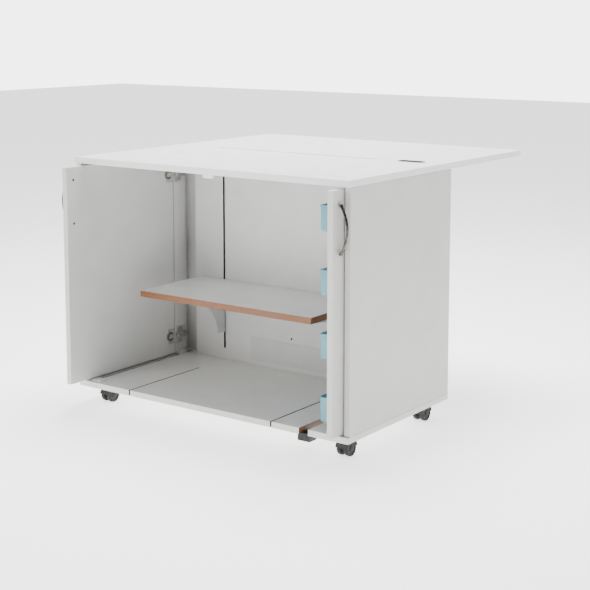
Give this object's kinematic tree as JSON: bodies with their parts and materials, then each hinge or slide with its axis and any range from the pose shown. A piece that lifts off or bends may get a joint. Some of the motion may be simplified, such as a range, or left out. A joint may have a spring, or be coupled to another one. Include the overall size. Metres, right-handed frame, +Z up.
{
  "type": "sewing table",
  "caption": "Rolling sewing cabinet with pocket doors, a lifting machine shelf under a hinged lid, door bins and a rear drop leaf.",
  "frame": {"origin": "on the floor under the middle of the whole footprint with the leaf up and the doors pushed back", "axes": "+X to the right of a person facing the doors, +Y to the back where the leaf is, +Z up"},
  "size_m": [1.0376, 1.0774, 0.7829],
  "materials": {
    "white_laminate": "melamine faced board, satin",
    "white_carcase": "melamine faced board, satin",
    "mdf_edge_board": "white faced board with raw fibreboard edges",
    "white_plastic": "moulded",
    "teal_plastic": "translucent moulded bins",
    "dark_nickel": "dark nickel plate",
    "zinc_steel": "zinc plate",
    "black_plastic": "moulded nylon",
    "grey_plastic": "moulded",
    "caster_tyre": "hard nylon tread"
  },
  "bodies": {
    "cabinet": {"base_board": "white_carcase", "side_panel_left": "white_carcase", "side_panel_right": "white_carcase", "tabletop": "white_laminate", "inner_back_panel": "white_carcase", "rear_panel": "white_carcase", "notch_block": "black_plastic", "cable_port_ring": "grey_plastic", "lid_hinge_rod": "zinc_steel", "lid_ledge_front": "zinc_steel", "lid_ledge_right": "zinc_steel", "leaf_hinge_fixed": "zinc_steel", "strut_bracket_wall_left": "zinc_steel", "strut_bracket_wall_right": "zinc_steel", "guide_rail_left": "zinc_steel", "guide_rail_right": "zinc_steel", "door_roller_left": "white_plastic", "door_roller_right": "white_plastic", "door_stop_centre": "white_plastic"},
    "lid": {"machine_lid": "white_laminate"},
    "leaf": {"rear_leaf": "white_laminate", "leaf_hinge_moving": "zinc_steel", "strut_bracket_leaf_left": "zinc_steel", "strut_bracket_leaf_right": "zinc_steel"},
    "lift": {"lift_shelf": "mdf_edge_board", "shelf_gusset_left": "zinc_steel", "shelf_gusset_right": "zinc_steel", "lift_carriage_left": "grey_plastic", "lift_carriage_right": "grey_plastic", "lift_cross_bar": "zinc_steel"},
    "strut_lower_left": {"strut_lower_left": "zinc_steel"},
    "strut_upper_left": {"strut_upper_left": "zinc_steel"},
    "strut_lower_right": {"strut_lower_right": "zinc_steel"},
    "strut_upper_right": {"strut_upper_right": "zinc_steel"},
    "door_carrier_left": {"door_follower_left": "white_carcase", "hinge_arm_lower_left": "dark_nickel", "hinge_arm_upper_left": "dark_nickel"},
    "door_left": {"door_left": "white_laminate", "hinge_cup_lower_left": "dark_nickel", "hinge_cup_upper_left": "dark_nickel", "door_handle_left": "dark_nickel"},
    "door_carrier_right": {"door_follower_right": "white_carcase", "hinge_arm_lower_right": "dark_nickel", "hinge_arm_upper_right": "dark_nickel"},
    "door_right": {"door_right": "white_laminate", "hinge_cup_lower_right": "dark_nickel", "hinge_cup_upper_right": "dark_nickel", "door_handle_right": "dark_nickel", "door_bin_1": "teal_plastic", "door_bin_2": "teal_plastic", "door_bin_3": "teal_plastic", "door_bin_4": "teal_plastic"},
    "caster_fork_front_left": {"caster_fork_front_left": "black_plastic"},
    "caster_wheels_front_left": {"caster_wheels_front_left": "caster_tyre"},
    "caster_fork_front_right": {"caster_fork_front_right": "black_plastic"},
    "caster_wheels_front_right": {"caster_wheels_front_right": "caster_tyre"},
    "caster_fork_rear_left": {"caster_fork_rear_left": "black_plastic"},
    "caster_wheels_rear_left": {"caster_wheels_rear_left": "caster_tyre"},
    "caster_fork_rear_right": {"caster_fork_rear_right": "black_plastic"},
    "caster_wheels_rear_right": {"caster_wheels_rear_right": "caster_tyre"}
  },
  "joints": [
    {"name": "lid_hinge", "type": "hinge", "parent": "cabinet", "child": "lid", "pos_m": [0, 0.025, 0.7816], "axis": [-1, 0, 0], "range_deg": [0, 180]},
    {"name": "leaf_hinge", "type": "hinge", "parent": "cabinet", "child": "leaf", "pos_m": [0, 0.085, 0.7566], "axis": [-1, 0, 0], "range_deg": [0, 90]},
    {"name": "shelf_lift", "type": "slide", "parent": "cabinet", "child": "lift", "axis": [0, 0, 1], "range_m": [-0.05, 0.4]},
    {"name": "strut_lower_left_pivot", "type": "hinge", "parent": "cabinet", "child": "strut_lower_left", "pos_m": [-0.3, 0.067, 0.4966], "axis": [1, 0, 0], "range_deg": [0, 48.5]},
    {"name": "strut_upper_left_pivot", "type": "hinge", "parent": "leaf", "child": "strut_upper_left", "pos_m": [-0.3, 0.345, 0.7426], "axis": [-1, 0, 0], "range_deg": [0, 41.52]},
    {"name": "strut_lower_right_pivot", "type": "hinge", "parent": "cabinet", "child": "strut_lower_right", "pos_m": [0.3, 0.067, 0.4966], "axis": [1, 0, 0], "range_deg": [0, 48.5]},
    {"name": "strut_upper_right_pivot", "type": "hinge", "parent": "leaf", "child": "strut_upper_right", "pos_m": [0.3, 0.345, 0.7426], "axis": [-1, 0, 0], "range_deg": [0, 41.52]},
    {"name": "door_left_slide", "type": "slide", "parent": "cabinet", "child": "door_carrier_left", "axis": [0, -1, 0], "range_m": [0, 0.385]},
    {"name": "door_left_swing", "type": "hinge", "parent": "door_carrier_left", "child": "door_left", "pos_m": [-0.4795, -0.06075, 0.078], "axis": [0, 0, 1], "range_deg": [0, 90.01]},
    {"name": "door_right_slide", "type": "slide", "parent": "cabinet", "child": "door_carrier_right", "axis": [0, -1, 0], "range_m": [0, 0.418]},
    {"name": "door_right_swing", "type": "hinge", "parent": "door_carrier_right", "child": "door_right", "pos_m": [0.4795, -0.02775, 0.078], "axis": [0, 0, -1], "range_deg": [0, 90.01]},
    {"name": "caster_front_left_swivel", "type": "hinge", "parent": "cabinet", "child": "caster_fork_front_left", "pos_m": [-0.436, -0.41075, 0.054], "axis": [0, 0, 1], "continuous": true},
    {"name": "caster_front_left_roll", "type": "hinge", "parent": "caster_fork_front_left", "child": "caster_wheels_front_left", "pos_m": [-0.436, -0.40275, 0.023], "axis": [1, 0, 0], "continuous": true},
    {"name": "caster_front_right_swivel", "type": "hinge", "parent": "cabinet", "child": "caster_fork_front_right", "pos_m": [0.466, -0.41075, 0.054], "axis": [0, 0, 1], "continuous": true},
    {"name": "caster_front_right_roll", "type": "hinge", "parent": "caster_fork_front_right", "child": "caster_wheels_front_right", "pos_m": [0.466, -0.40275, 0.023], "axis": [1, 0, 0], "continuous": true},
    {"name": "caster_rear_left_swivel", "type": "hinge", "parent": "cabinet", "child": "caster_fork_rear_left", "pos_m": [-0.436, -0.00275, 0.054], "axis": [0, 0, 1], "continuous": true},
    {"name": "caster_rear_left_roll", "type": "hinge", "parent": "caster_fork_rear_left", "child": "caster_wheels_rear_left", "pos_m": [-0.436, 0.00525, 0.023], "axis": [1, 0, 0], "continuous": true},
    {"name": "caster_rear_right_swivel", "type": "hinge", "parent": "cabinet", "child": "caster_fork_rear_right", "pos_m": [0.466, -0.00275, 0.054], "axis": [0, 0, 1], "continuous": true},
    {"name": "caster_rear_right_roll", "type": "hinge", "parent": "caster_fork_rear_right", "child": "caster_wheels_rear_right", "pos_m": [0.466, 0.00525, 0.023], "axis": [1, 0, 0], "continuous": true}
  ],
  "couplings": [
    {"joint": "strut_lower_left_pivot", "follows": "leaf_hinge", "ratio": 0.53883},
    {"joint": "strut_upper_left_pivot", "follows": "leaf_hinge", "ratio": 0.46117},
    {"joint": "strut_lower_right_pivot", "follows": "leaf_hinge", "ratio": 0.53883},
    {"joint": "strut_upper_right_pivot", "follows": "leaf_hinge", "ratio": 0.46117},
    {"joint": "door_left_swing", "follows": "door_left_slide", "rad_per_m": 4.08},
    {"joint": "door_right_swing", "follows": "door_right_slide", "rad_per_m": 3.7579}
  ]
}
